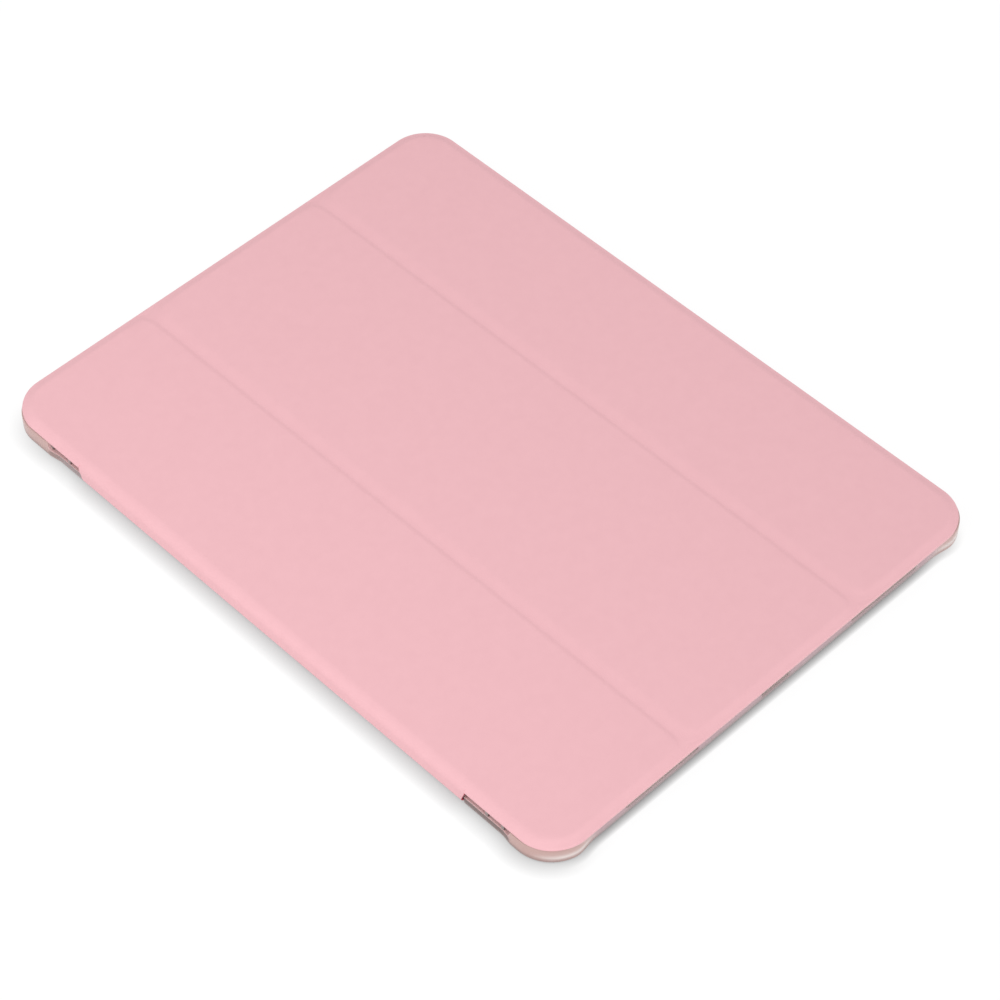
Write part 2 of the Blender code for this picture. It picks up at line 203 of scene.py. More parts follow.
def shell_section(station):
    """Points round the wall from under the tray, up the outside, over the top and down into the pocket."""
    edge_top, wall_top, ledge = wall_heights(station)
    points = [(outer(station, FOOT_R + 6.0), 0.0), (outer(station, FOOT_R + 3.0), 0.0)]
    for k in range(9):
        a = math.radians(90.0 * k / 8)
        points.append((outer(station, FOOT_R * (1.0 - math.sin(a))), FOOT_R * (1.0 - math.cos(a))))
    for k in range(1, 4):
        points.append((outer(station, 0.0), FOOT_R + (edge_top - EDGE_R - FOOT_R) * k / 3))
    for k in range(1, 5):
        b = math.radians(22.5 * k)
        points.append((outer(station, EDGE_R * (1.0 - math.cos(b))), edge_top - EDGE_R * (1.0 - math.sin(b))))
    p0 = points[-1][0]
    p1 = inner(station, -INNER_R)
    rise = wall_top - edge_top
    step = [
        (p0.lerp(inner(station, -SPINE_WALL), 0.35), edge_top), (p0.lerp(inner(station, -SPINE_WALL), 0.7), edge_top),
        (inner(station, -SPINE_WALL - 0.4), edge_top), (inner(station, -SPINE_WALL - 0.12), edge_top + 0.05 * rise),
        (inner(station, -SPINE_WALL), edge_top + 0.15 * rise), (inner(station, -SPINE_WALL), wall_top - 0.11 * rise),
        (inner(station, 0.08 - SPINE_WALL), wall_top - 0.03 * rise), (inner(station, 0.3 - SPINE_WALL), wall_top),
        (inner(station, 0.5 - SPINE_WALL), wall_top),
    ]
    for k, (place, z) in enumerate(step, 1):
        plain = p0.lerp(p1, k / 10)
        points.append((plain.lerp(place, ledge), edge_top + (z - edge_top) * ledge))
    points.append((p1, wall_top))
    tall = (wall_top - POCKET_FLOOR) / (CORNER_TOP - POCKET_FLOOR)
    bead = BEAD * float(smoothstep((wall_top - 3.5) / 2.0))
    for k in range(1, 4):
        b = math.radians(30 * k)
        points.append((inner(station, (INNER_R + bead) * math.sin(b) - INNER_R), wall_top - INNER_R * (1.0 - math.cos(b))))
    for z, bulge in ((4.55, 0.9), (4.3, 0.35), (4.05, 0.0), (2.8, 0.0), (1.4, 0.0)):
        points.append((inner(station, bead * bulge), POCKET_FLOOR + z * tall))
    r = 0.8 * tall
    for k in range(1, 5):
        b = math.radians(22.5 * k)
        points.append((inner(station, r * (1.0 - math.cos(b))), POCKET_FLOOR + r * (1.0 - math.sin(b))))
    points += [(inner(station, r + 3.0), POCKET_FLOOR), (inner(station, r + 7.0), POCKET_FLOOR)]
    return points


def solid_piece(name, points, faces):
    mesh = bpy.data.meshes.new(name)
    mesh.from_pydata([tuple(p) for p in points], [], faces)
    mesh.validate()
    obj = bpy.data.objects.new(name, mesh)
    bpy.context.scene.collection.objects.link(obj)
    return obj


def tube(name, rings, closed=True):
    """Rings of points in millimetres, each joined to the next, with a flat face at both ends."""
    n = len(rings[0])
    points = [(x * MM, y * MM, z * MM) for ring in rings for x, y, z in ring]
    faces = [tuple(range(n - 1, -1, -1)), tuple(range((len(rings) - 1) * n, len(rings) * n))]
    for k in range(len(rings) - 1):
        for i in range(n):
            j = (i + 1) % n
            faces.append((k * n + i, k * n + j, (k + 1) * n + j, (k + 1) * n + i))
    return solid_piece(name, points, faces)


def shade(obj, sharp=35.0):
    obj.data.shade_smooth()
    obj.data.set_sharp_from_angle(angle=math.radians(sharp))
    return obj


def carve(obj, cutter):
    mod = obj.modifiers.new("carve", "BOOLEAN")
    mod.operation = "DIFFERENCE"
    mod.solver = "EXACT"
    mod.object = cutter
    bpy.context.view_layer.update()
    mesh = bpy.data.meshes.new_from_object(obj.evaluated_get(bpy.context.evaluated_depsgraph_get()))
    obj.modifiers.clear()
    old = obj.data
    obj.data = mesh
    bpy.data.meshes.remove(old)
    bpy.data.objects.remove(cutter, do_unlink=True)


sections = [shell_section(s) for s in stations]
shell = tube("back_shell_moulding", [
    [(sec[k][0].x, sec[k][0].y, sec[k][1]) for sec in sections] for k in range(len(sections[0]))
])

# The recess that takes the leather round the ledge and across the back, and the camera hole with round rims
TONGUE_ROOM = 88.9
LOW_BEND = 2.8
RECESS = 0.7
RECESS_END = -65.6
RECESS_SIDE = -94.1
LOW_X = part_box("spine_leather")[0].x / MM + LOW_BEND
reach = LOW_BEND - RECESS
turn = math.pi + math.acos((LOW_X - RECESS_SIDE) / reach)
room = [(-120.0, -1.0), (RECESS_END, -1.0), (RECESS_END, RECESS)]
for a in np.linspace(1.5 * math.pi, turn, 9):
    room.append((LOW_X + reach * math.cos(a), LOW_BEND + reach * math.sin(a)))
room += [(RECESS_SIDE, 9.0), (-120.0, 9.0)]
carve(shell, tube("room", [[(x, y, z) for x, z in reversed(room)] for y in (-TONGUE_ROOM, TONGUE_ROOM)]))

HOLE = dict(x=70.8, y=103.0, half=13.5, r=8.0)


def hole_ring(grow, z):
    r = HOLE["r"] + grow
    flat = HOLE["half"] - HOLE["r"]
    ring = []
    for k in range(48):
        a = 2 * math.pi * (k + 0.5) / 48
        sx, sy = math.copysign(1, math.cos(a)), math.copysign(1, math.sin(a))
        ring.append((HOLE["x"] + sx * flat + r * math.cos(a), HOLE["y"] + sy * flat + r * math.sin(a), z))
    return ring


rim = [(0.9, -0.5), (0.42, -0.02), (0.2, 0.06), (0.06, 0.2), (0.0, 0.42)]
carve(shell, tube("hole", [hole_ring(g, z) for g, z in rim] + [hole_ring(g, 1.2 - z) for g, z in reversed(rim)]))


def near_hole(x, y):
    return np.maximum(np.abs(x - HOLE["x"]), np.abs(y - HOLE["y"])) < HOLE["half"] + 1.5


def keep_flats(obj):
    """The flat faces keep their own direction right up to the hole's round rim, which would else shade them."""
    bm = bmesh.new()
    bm.from_mesh(obj.data)
    for edge in bm.edges:
        level = [abs(f.normal.z) > 0.9999 for f in edge.link_faces]
        place = (edge.verts[0].co + edge.verts[1].co) / 2 / MM
        if any(level) and not all(level) and near_hole(place.x, place.y):
            edge.smooth = False
    bm.to_mesh(obj.data)
    bm.free()


def stain(obj, least_shade=0.0):
    """Attributes for the plastic: thick corners; a painted highlight on the port-side corners; painted light on the
    port-end sills; a lighter pink ledge top; painted shade on the ledge face, the ribs and the bottom of the outer
    walls; and painted shade with pink reflection on the thin walls' upper outer faces.
    """
    mesh = obj.data
    count = len(mesh.vertices)
    co = np.empty(count * 3)
    mesh.vertices.foreach_get("co", co)
    x, y, z = co.reshape(-1, 3).T / MM
    facing = np.array([v.normal for v in mesh.vertices]).T
    bulk = smoothstep((np.abs(x) - 73.0) / 8.0) * smoothstep((np.abs(y) - 97.0) / 6.0)
    within = np.minimum(SHELL_X - np.abs(x), SHELL_Y - np.abs(y))
    bulk = bulk * (1.0 - smoothstep((1.7 - z) / 0.3) * smoothstep((within - 2.5) / 4.0))
    west = np.clip(-facing[0], 0.0, 1.0)
    south = np.clip(-facing[1], 0.0, 1.0)
    outward = smoothstep((x * facing[0] / SHELL_X + y * facing[1] / SHELL_Y) * 2.0 - 0.1)
    outward = np.where(near_hole(x, y), 0.0, outward)
    ledge = smoothstep((np.minimum(y - LEDGE_LOW, LEDGE_HIGH - y) + 1.0) / 1.5) * smoothstep((-x - 86.0) / 1.0)
    face = smoothstep((LEDGE_TOP - 0.05 - z) / 0.3) * smoothstep(west * 2.0 - 0.5)
    far_end = smoothstep((y + 40.0) / 80.0)
    # Painted shade: the ledge's outer face below its top is darkened, more at the near end and a little less close to
    # the floor.
    ledge_face_shade = face * (1.0 - 0.35 * far_end) * (0.6 + 0.4 * smoothstep((z - 0.9) / 1.2))
    # Painted shade: a dark band low on the outward faces, below about 2.7 mm, as contact shade beside the floor. It
    # is stronger on corner faces that do not face the port side, and weaker towards the far end and the right-hand
    # corner.
    foot_shade = 0.40 + 0.22 * bulk * (1.0 - south) * (1.0 - 0.5 * far_end)
    foot_shade = foot_shade * (1.0 - 0.5 * smoothstep((x - 60.0) / 15.0)) * smoothstep((2.7 - z) / 0.7) * outward
    # The painted shade of the ledge face and the bottom of the walls, never less than the given least amount.
    edge = np.maximum(ledge * ledge_face_shade + (1.0 - ledge) * foot_shade, least_shade)
    # Painted highlight: a light band on the thick corners' port-side faces, between about 2.4 and 4.8 mm up, standing
    # in for the white floor seen through the translucent corners.
    clear = bulk * smoothstep((4.8 - z) / 1.2) * smoothstep((z - 2.4) / 0.6) * smoothstep(south * 1.5 - 0.35)
    # Painted light: the inner faces at the port end, the cut-out sills and the pocket floor behind them, are
    # lightened. This stands in for light glowing through the translucent shell under the cover's shade.
    painted_sill_light = smoothstep((-y - 117.5) / 3.0) * smoothstep((5.2 - z) / 0.8) * (1.0 - outward)
    painted_sill_light = painted_sill_light * smoothstep((z - 0.5) / 0.5)
    painted_light = np.maximum(clear, painted_sill_light)
    pink_top = ledge * (1.0 - face) * smoothstep((z - 1.6) / 0.6)
    # Painted shade and painted pink reflection: the upper outer faces of the thin walls are darker and pinker, for
    # the cover's shade and its pink bounce.
    rim = outward * (1.0 - bulk) * (1.0 - ledge) * smoothstep((z - 1.3) / 2.9)
    tints = {"bulk": bulk, "edge": edge, "clear": painted_light, "ledge": pink_top, "rim": rim}
    for name, values in tints.items():
        layer = mesh.attributes.new(name, "FLOAT", "POINT")
        layer.data.foreach_set("value", values.astype(np.float32))


def frosted_plastic(name):
    mat = bpy.data.materials.new(name)
    mat.use_nodes = True
    nodes, links = mat.node_tree.nodes, mat.node_tree.links
    bsdf = nodes["Principled BSDF"]
    bsdf.inputs["Transmission Weight"].default_value = 0.12
    bsdf.inputs["IOR"].default_value = 1.49
    place = nodes.new("ShaderNodeTexCoord")
    cloud = nodes.new("ShaderNodeTexNoise")
    cloud.inputs["Scale"].default_value = 60.0
    cloud.inputs["Detail"].default_value = 3.0
    links.new(place.outputs["Object"], cloud.inputs["Vector"])

    def blend(factor, a, b):
        mix = nodes.new("ShaderNodeMix")
        mix.data_type = "RGBA"
        links.new(factor, mix.inputs["Factor"])
        for socket, value in (("A", a), ("B", b)):
            if isinstance(value, tuple):
                mix.inputs[socket].default_value = (*value, 1.0)
            else:
                links.new(value, mix.inputs[socket])
        return mix.outputs["Result"]

    def attribute(title):
        node = nodes.new("ShaderNodeAttribute")
        node.attribute_name = title
        return node.outputs["Fac"]

    thin = blend(cloud.outputs["Fac"], (0.60, 0.49, 0.50), (0.68, 0.56, 0.57))
    thick = blend(cloud.outputs["Fac"], (0.60, 0.385, 0.355), (0.66, 0.43, 0.395))
    tone = blend(attribute("bulk"), thin, thick)
    # Painted highlight and painted light: the light tone on the port-side corner bands and the port-end sills.
    tone = blend(attribute("clear"), tone, (0.90, 0.80, 0.77))
    tone = blend(attribute("ledge"), tone, (0.76, 0.49, 0.485))
    # Painted shade with painted pink reflection on the thin walls' upper outer faces.
    tone = blend(attribute("rim"), tone, (0.558, 0.337, 0.382))
    # Painted shade: the dark tone on the ledge face, the ribs and the bottom of the outer walls.
    links.new(blend(attribute("edge"), tone, (0.22, 0.15, 0.142)), bsdf.inputs["Base Color"])
    frost = nodes.new("ShaderNodeTexNoise")
    frost.inputs["Scale"].default_value = 6000.0
    links.new(place.outputs["Object"], frost.inputs["Vector"])
    gloss = nodes.new("ShaderNodeMapRange")
    gloss.inputs["To Min"].default_value = 0.24
    gloss.inputs["To Max"].default_value = 0.34
    links.new(frost.outputs["Fac"], gloss.inputs["Value"])
    links.new(gloss.outputs["Result"], bsdf.inputs["Roughness"])
    bump = nodes.new("ShaderNodeBump")
    bump.inputs["Strength"].default_value = 0.1
    bump.inputs["Distance"].default_value = 0.02 * MM
    links.new(frost.outputs["Fac"], bump.inputs["Height"])
    links.new(bump.outputs["Normal"], bsdf.inputs["Normal"])
    return mat


frosted = frosted_plastic("frosted_plastic")
shade(shell)
keep_flats(shell)
stain(shell)
shell.data.materials.append(frosted)
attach(shell, "shell")
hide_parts("back_shell")


# Ribs: small upright plates moulded on the ledge, which hold the spine's leather out and stiffen the wall.
# They are one shape repeated along the ledge, and two at each end show where the leather is cut.
RIB_AT = [-105.0, -98.2, -85.0, -68.0, -51.0, -34.0, -17.0, 0.0, 17.0, 34.0, 51.0, 68.0, 85.0, 95.3, 104.0]
RIB_THICK = 1.2
RIB_OUT = -94.7
RIB_IN = -87.4
RIB_TOP = 6.15


def rib_shape():
    """Side view of the rib with a round upper corner, as a plate with slightly round faces."""
    outline = [(RIB_IN, LEDGE_TOP - 0.3), (RIB_OUT, LEDGE_TOP - 0.3)]
    for a in np.radians(np.linspace(180.0, 90.0, 7)):
        outline.append((RIB_OUT + 0.5 + 0.5 * math.cos(a), RIB_TOP - 0.5 + 0.5 * math.sin(a)))
    outline.append((RIB_IN, RIB_TOP))
    cx = sum(p[0] for p in outline) / len(outline)
    cz = sum(p[1] for p in outline) / len(outline)
    rings = []
    for y, shrink in ((-0.6, 0.95), (-0.52, 0.985), (-0.4, 1.0), (0.4, 1.0), (0.52, 0.985), (0.6, 0.95)):
        rings.append([(cx + (x - cx) * shrink, y * RIB_THICK / 1.2, cz + (z - cz) * shrink) for x, z in outline])
    return shade(tube("rib", [list(reversed(r)) for r in rings]), 50.0)


def repeat_group(name):
    """Geometry Nodes: one shape on every point, as real geometry with its material."""
    group = bpy.data.node_groups.new(name, "GeometryNodeTree")
    group.interface.new_socket("Geometry", in_out="INPUT", socket_type="NodeSocketGeometry")
    shape = group.interface.new_socket("Shape", in_out="INPUT", socket_type="NodeSocketObject")
    look = group.interface.new_socket("Look", in_out="INPUT", socket_type="NodeSocketMaterial")
    group.interface.new_socket("Geometry", in_out="OUTPUT", socket_type="NodeSocketGeometry")
    nodes, links = group.nodes, group.links
    begin = nodes.new("NodeGroupInput")
    info = nodes.new("GeometryNodeObjectInfo")
    place = nodes.new("GeometryNodeInstanceOnPoints")
    real = nodes.new("GeometryNodeRealizeInstances")
    dress_up = nodes.new("GeometryNodeSetMaterial")
    end = nodes.new("NodeGroupOutput")
    links.new(begin.outputs["Geometry"], place.inputs["Points"])
    links.new(begin.outputs["Shape"], info.inputs["Object"])
    links.new(info.outputs["Geometry"], place.inputs["Instance"])
    links.new(place.outputs["Instances"], real.inputs["Geometry"])
    links.new(real.outputs["Geometry"], dress_up.inputs["Geometry"])
    links.new(begin.outputs["Look"], dress_up.inputs["Material"])
    links.new(dress_up.outputs["Geometry"], end.inputs["Geometry"])
    return group, shape.identifier, look.identifier


def repeated(name, shape, places, look):
    points = solid_piece(name, places, [])
    group, shape_id, look_id = repeat_group(name + "_nodes")
    mod = points.modifiers.new("repeat", "NODES")
    mod.node_group = group
    mod[shape_id] = shape
    mod[look_id] = look
    bpy.context.view_layer.update()
    mesh = bpy.data.meshes.new_from_object(points.evaluated_get(bpy.context.evaluated_depsgraph_get()))
    points.modifiers.remove(mod)
    points.data = mesh
    bpy.data.objects.remove(shape, do_unlink=True)
    return points


ribs = repeated("ledge_ribs", rib_shape(), [(0.0, y * MM, 0.0) for y in RIB_AT], frosted)
# The ribs are painted wholly in the dark shade tone, so their lit faces show as shaded.
stain(ribs, 1.0)
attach(ribs, "shell")


# Cover leather: one sheet of fine-grained pink artificial leather, hot-pressed over three boards.
# It slopes down to a thin pressed edge all round and sinks a little between the boards, where it folds.
LEATHER = 0.5 * MM
CORNER_R = 13.7 * MM
EDGE_DROP = 0.62 * MM
EDGE_SHOULDER = 3.7 * MM
EDGE_SLOPE = 3.0 * MM
RIM_DROP = 0.33 * MM
RIM_REACH = 3.1 * MM
CUT_ROUND = 0.2 * MM
WRAP_OUT = 0.35 * MM
WRAP_DROP = 0.75 * MM
WRAP_REACH = 2.2 * MM
GROOVE_DEPTH = 0.42 * MM
GROOVE_STEEP = 2.3 * MM
GROOVE_GENTLE = 4.6 * MM
GROOVE_CORNER = 4.0 * MM
SPINE_SEAM = 1.2 * MM
SPINE_HALF = 89.4 * MM

low_1, high_1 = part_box("panel_1_leather")
low_2, high_2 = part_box("panel_2_leather")
low_3, high_3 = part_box("panel_3_leather")
COVER_X = high_3.x
LEFT_X = COVER_X + WRAP_OUT
COVER_Y = high_2.y
TOP = high_2.z
crease = {j["name"]: j["pos_m"][0] for j in frame["joints"] if j["name"].startswith("fold")}
grooves = [
    (crease["fold_1_a"] - 1.2 * MM, crease["fold_1_a"] - 1.2 * MM + GROOVE_STEEP + GROOVE_GENTLE),
    (crease["fold_2_a"] - 2.1 * MM, crease["fold_2_a"] - 2.1 * MM + GROOVE_STEEP + GROOVE_GENTLE),
]


def corner_place(x, y):
    qx = np.where(x < 0.0, -x - LEFT_X, x - COVER_X) + CORNER_R
    return qx, np.abs(y) - (COVER_Y - CORNER_R)


def edge_distance(x, y):
    qx, qy = corner_place(x, y)
    outside = np.hypot(np.maximum(qx, 0.0), np.maximum(qy, 0.0))
    return CORNER_R - outside - np.minimum(np.maximum(qx, qy), 0.0)


def edge_fall(d):
    rim = np.clip((RIM_REACH - d) / RIM_REACH, 0.0, 1.0)
    cut = np.clip(1.0 - d / CUT_ROUND, 0.0, 1.0)
    return EDGE_DROP * smoothstep((EDGE_SHOULDER - d) / EDGE_SLOPE) + RIM_DROP * rim ** 2 + 0.15 * MM * cut ** 2


def wrap_fall(x, y):
    """The leather turns down a little further where it wraps the spine side."""
    qx, qy = corner_place(x, y)
    px, py = np.maximum(qx, 0.0), np.maximum(qy, 0.0)
    share = np.where(x < 0.0, px ** 2 / (px ** 2 + py ** 2 + 1e-18), 0.0)
    return WRAP_DROP * share * np.clip(1.0 - edge_distance(x, y) / WRAP_REACH, 0.0, 1.0) ** 2


def groove_reach(x, left, right):
    """How far in from the groove's shoulders: steep on the spine side, gentle on the other."""
    deep = left + GROOVE_STEEP
    return np.where(x < deep, x - left, (right - x) * GROOVE_STEEP / (right - deep))


def groove_fall(u):
    return GROOVE_DEPTH * smoothstep(u / GROOVE_STEEP)


def cover_height(x, y):
    d = edge_distance(x, y)
    fall = edge_fall(d)
    for left, right in grooves:
        u = groove_reach(x, left, right)
        sx = u + GROOVE_CORNER
        sy = EDGE_SHOULDER - (COVER_Y - np.abs(y)) + GROOVE_CORNER
        s = np.hypot(np.maximum(sx, 0.0), np.maximum(sy, 0.0)) - GROOVE_CORNER
        share = np.maximum(sx, 0.0) ** 2 / (np.maximum(sx, 0.0) ** 2 + np.maximum(sy, 0.0) ** 2 + 1e-18)
        both = share * groove_fall(s) + (1.0 - share) * edge_fall(EDGE_SHOULDER - s)
        both = both + (edge_fall(d) - both) * smoothstep(1.0 - d / (1.2 * MM))
        fall = np.where(sx > 0.0, np.where(sy > 0.0, both, groove_fall(u)), fall)
    return TOP - fall - wrap_fall(x, y)


def spread(*runs):
    """Points along one direction: (start, end, step) runs joined end to end."""
    points = []
    for start, end, step in runs:
        count = max(1, round((end - start) / step))
        points += [start + (end - start) * k / count for k in range(count)]
    return points + [runs[-1][1]]


def corner_columns():
    steps = 36
    return [CORNER_R * (1.0 - math.cos(math.radians(90.0 * k / steps))) for k in range(steps + 1)]


seam_x = SPINE_SEAM - LEFT_X
columns = [c - LEFT_X for c in corner_columns()]
columns = [c for c in columns if abs(c - seam_x) > 0.12 * MM] + [seam_x]
flat = 4.0 * MM
fine = 0.35 * MM
g1, g2 = grooves
columns += spread(
    (CORNER_R - LEFT_X, g1[0] - 0.6 * MM, flat), (g1[0] - 0.6 * MM, (g1[0] + g1[1]) / 2, fine),
    ((g1[0] + g1[1]) / 2, g1[1] + 0.6 * MM, fine), (g1[1] + 0.6 * MM, g2[0] - 0.6 * MM, flat),
    (g2[0] - 0.6 * MM, (g2[0] + g2[1]) / 2, fine), ((g2[0] + g2[1]) / 2, g2[1] + 0.6 * MM, fine),
    (g2[1] + 0.6 * MM, COVER_X - CORNER_R, flat),
)[1:]
columns += [COVER_X - c for c in reversed(corner_columns())][1:]
columns = np.array(sorted(columns))

MIDDLE = 100.0 * MM
steps_in = [0.0, 0.1, 0.2, 0.45, 0.75, 1.05, 1.35, 1.65, 1.95, 2.25, 2.55, 2.85, 3.15, 3.45, 3.75, 4.2, 5.2, 7.0, 9.5, 13, 17, 21.5]
end_shares = [1.0 - e * MM / (COVER_Y - MIDDLE) for e in reversed(steps_in)]
straight = spread((0.0, SPINE_HALF, flat), (SPINE_HALF, MIDDLE, flat))


def half_length(x):
    past = np.maximum(corner_place(x, 0.0)[0], 0.0)
    return COVER_Y - CORNER_R + np.sqrt(np.maximum(CORNER_R ** 2 - past ** 2, 0.0))


def row_places(x):
    half = half_length(x)
    ends = [MIDDLE + s * (half - MIDDLE) for s in end_shares]
    up = straight + ends
    return [-y for y in reversed(up)] + up[1:]


def sheet_solid(name, xs, top, under, skip=None):
    """A closed solid between two height fields over the cover's grid of columns and rows."""
    rows = len(row_places(xs[0]))
    points = []
    for height in (top, under):
        for x in xs:
            ys = np.array(row_places(x))
            points += [(x, y, z) for y, z in zip(ys, height(np.full_like(ys, x), ys))]
    half = len(points) // 2
    cells = set()
    for i in range(len(xs) - 1):
        for j in range(rows - 1):
            y = (points[i * rows + j][1] + points[i * rows + j + 1][1]) / 2
            if skip is None or not skip((xs[i] + xs[i + 1]) / 2, y):
                cells.add((i, j))
    faces = []
    for i, j in sorted(cells):
        a, b = i * rows + j, (i + 1) * rows + j
        faces.append((a, b, b + 1, a + 1))
        faces.append((half + a, half + a + 1, half + b + 1, half + b))
        for (ni, nj), (p, q) in (
            ((i - 1, j), (a, a + 1)), ((i + 1, j), (b + 1, b)), ((i, j - 1), (b, a)), ((i, j + 1), (a + 1, b + 1)),
        ):
            if (ni, nj) not in cells:
                faces.append((p, q, half + q, half + p))
    obj = solid_piece(name, points, faces)
    bm = bmesh.new()
    bm.from_mesh(obj.data)
    loose = [v for v in bm.verts if not v.link_faces]
    bmesh.ops.delete(bm, geom=loose, context="VERTS")
    bm.to_mesh(obj.data)
    bm.free()
    return shade(obj)


def leather(name):
    mat = bpy.data.materials.new(name)
    mat.use_nodes = True
    nodes, links = mat.node_tree.nodes, mat.node_tree.links
    bsdf = nodes["Principled BSDF"]
    bsdf.inputs["Specular IOR Level"].default_value = 0.2
    place = nodes.new("ShaderNodeTexCoord")
    mottle = nodes.new("ShaderNodeTexNoise")
    mottle.inputs["Scale"].default_value = 260.0
    mottle.inputs["Detail"].default_value = 4.0
    links.new(place.outputs["Object"], mottle.inputs["Vector"])
    tint = nodes.new("ShaderNodeMix")
    tint.data_type = "RGBA"
    tint.inputs["A"].default_value = (0.838, 0.474, 0.510, 1.0)
    tint.inputs["B"].default_value = (0.878, 0.504, 0.540, 1.0)
    links.new(mottle.outputs["Fac"], tint.inputs["Factor"])
    links.new(tint.outputs["Result"], bsdf.inputs["Base Color"])
    pebble = nodes.new("ShaderNodeTexVoronoi")
    pebble.feature = "DISTANCE_TO_EDGE"
    pebble.inputs["Scale"].default_value = 1500.0
    links.new(place.outputs["Object"], pebble.inputs["Vector"])
    crease_line = nodes.new("ShaderNodeMapRange")
    crease_line.inputs["From Max"].default_value = 0.25
    links.new(pebble.outputs["Distance"], crease_line.inputs["Value"])
    gloss = nodes.new("ShaderNodeMapRange")
    gloss.inputs["To Min"].default_value = 0.62
    gloss.inputs["To Max"].default_value = 0.5
    links.new(crease_line.outputs["Result"], gloss.inputs["Value"])
    links.new(gloss.outputs["Result"], bsdf.inputs["Roughness"])
    bump = nodes.new("ShaderNodeBump")
    bump.inputs["Strength"].default_value = 0.35
    bump.inputs["Distance"].default_value = 0.03 * MM
    links.new(crease_line.outputs["Result"], bump.inputs["Height"])
    links.new(bump.outputs["Normal"], bsdf.inputs["Normal"])
    return mat


pink = leather("pink_leather")


def span(first, last):
    return [x for x in columns if first - 1e-7 <= x <= last + 1e-7]


def under_leather(x, y):
    return cover_height(x, y) - LEATHER


def tongue_place(x, y):
    return x < seam_x and abs(y) < SPINE_HALF


def cover_piece(name, first, last, top, under, mat, skip=None):
    piece = sheet_solid(name, span(first, last), top, under, skip)
    piece.data.materials.append(mat)
    return piece


LAP = 0.6 * MM
middle = {"fold_1": (g1[0] + g1[1]) / 2, "fold_2": (g2[0] + g2[1]) / 2}
seams = [-LEFT_X, g1[0] - LAP, middle["fold_1"], g1[1] + LAP, g2[0] - LAP, middle["fold_2"], g2[1] + LAP, COVER_X]
pieces = [
    ("panel_1_skin", "panel_1", None, "panel_1_leather"),
    ("fold_1_skin_a", "panel_1", "fold_1", "fold_1_leather"),
    ("fold_1_skin_b", "fold_1", "panel_2", None),
    ("panel_2_skin", "panel_2", None, "panel_2_leather"),
    ("fold_2_skin_a", "panel_2", "fold_2", "fold_2_leather"),
    ("fold_2_skin_b", "fold_2", "panel_3", None),
    ("panel_3_skin", "panel_3", None, "panel_3_leather"),
]


def fasten(piece, body, child, node):
    if child is None:
        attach(piece, body)
    else:
        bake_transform(piece)
    if node:
        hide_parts(node)


for k, (name, body, child, node) in enumerate(pieces):
    skip = tongue_place if name == "panel_1_skin" else None
    piece = cover_piece(name, seams[k], seams[k + 1], cover_height, under_leather, pink, skip)
    fasten(piece, body, child, node)


# Spine and back strip: the same leather carries on over the spine side of panel 1, down past the ledge
# and under the shell, where its end is glued into a shallow recess. Its two ends are cut a little in.
LOW_R = LOW_BEND * MM
SPINE_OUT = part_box("spine_leather")[0].x
STRIP_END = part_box("back_strip")[1].x
TAPER = 1.5 * MM
seam_z = float(cover_height(np.array([seam_x]), np.array([0.0]))[0])
just_in = float(cover_height(np.array([seam_x + 0.05 * MM]), np.array([0.0]))[0])
fall_dir = Vector((-0.05 * MM, seam_z - just_in)).normalized()
SIDE_TOP = 6.0 * MM
PULL = 0.95 * MM


def bezier(p0, p1, p2, p3, steps):
    out = []
    for k in range(steps + 1):
        t = k / steps
        out.append((1 - t) ** 3 * p0 + 3 * t * (1 - t) ** 2 * p1 + 3 * t * t * (1 - t) * p2 + t ** 3 * p3)
    return out


start = Vector((seam_x, seam_z))
side = Vector((SPINE_OUT, SIDE_TOP))
upper_bend = bezier(start, start + fall_dir * PULL, side + Vector((0, PULL)), side, 16)
LOWER_C = Vector((SPINE_OUT + LOW_R, LOW_R))
side_path = [Vector((SPINE_OUT, SIDE_TOP + (LOW_R - SIDE_TOP) * k / 4)) for k in range(5)]
lower_bend = [LOWER_C + LOW_R * Vector((-math.cos(a), -math.sin(a))) for a in np.radians(np.linspace(0, 90, 19))]
strip_path = [Vector((LOWER_C.x + (STRIP_END - LOWER_C.x) * k / 6, 0.0)) for k in range(7)]
whole = upper_bend + side_path[1:] + lower_bend[1:] + strip_path[1:]
lengths = np.concatenate([[0.0], np.cumsum([(b - a).length for a, b in zip(whole, whole[1:])])])
bend_end = lengths[len(upper_bend) - 1]


def tongue_half(s):
    return SPINE_HALF - TAPER * float(smoothstep((s - 0.6 * bend_end) / (2.2 * bend_end)))


def normals(path):
    out = []
    for k in range(len(path)):
        a, b = path[max(k - 1, 0)], path[min(k + 1, len(path) - 1)]
        run = (b - a).normalized()
        out.append(Vector((-run.y, run.x)))
    return out


whole_normals = normals(whole)


# Crimson for the spine's two cut ends: painted shade with pink reflection, standing in for the shaded hollow between
# the leather and the ledge.
def painted_shade_end(name):
    mat = bpy.data.materials.new(name)
    mat.use_nodes = True
    nodes, links = mat.node_tree.nodes, mat.node_tree.links
    bsdf = nodes["Principled BSDF"]
    bsdf.inputs["Roughness"].default_value = 0.6
    place = nodes.new("ShaderNodeTexCoord")
    fibre = nodes.new("ShaderNodeTexNoise")
    fibre.inputs["Scale"].default_value = 2500.0
    links.new(place.outputs["Object"], fibre.inputs["Vector"])
    tint = nodes.new("ShaderNodeMix")
    tint.data_type = "RGBA"
    tint.inputs["A"].default_value = (0.66, 0.07, 0.12, 1.0)
    tint.inputs["B"].default_value = (0.78, 0.11, 0.17, 1.0)
    links.new(fibre.outputs["Fac"], tint.inputs["Factor"])
    links.new(tint.outputs["Result"], bsdf.inputs["Base Color"])
    return mat


dark_red = painted_shade_end("painted_shade_end")


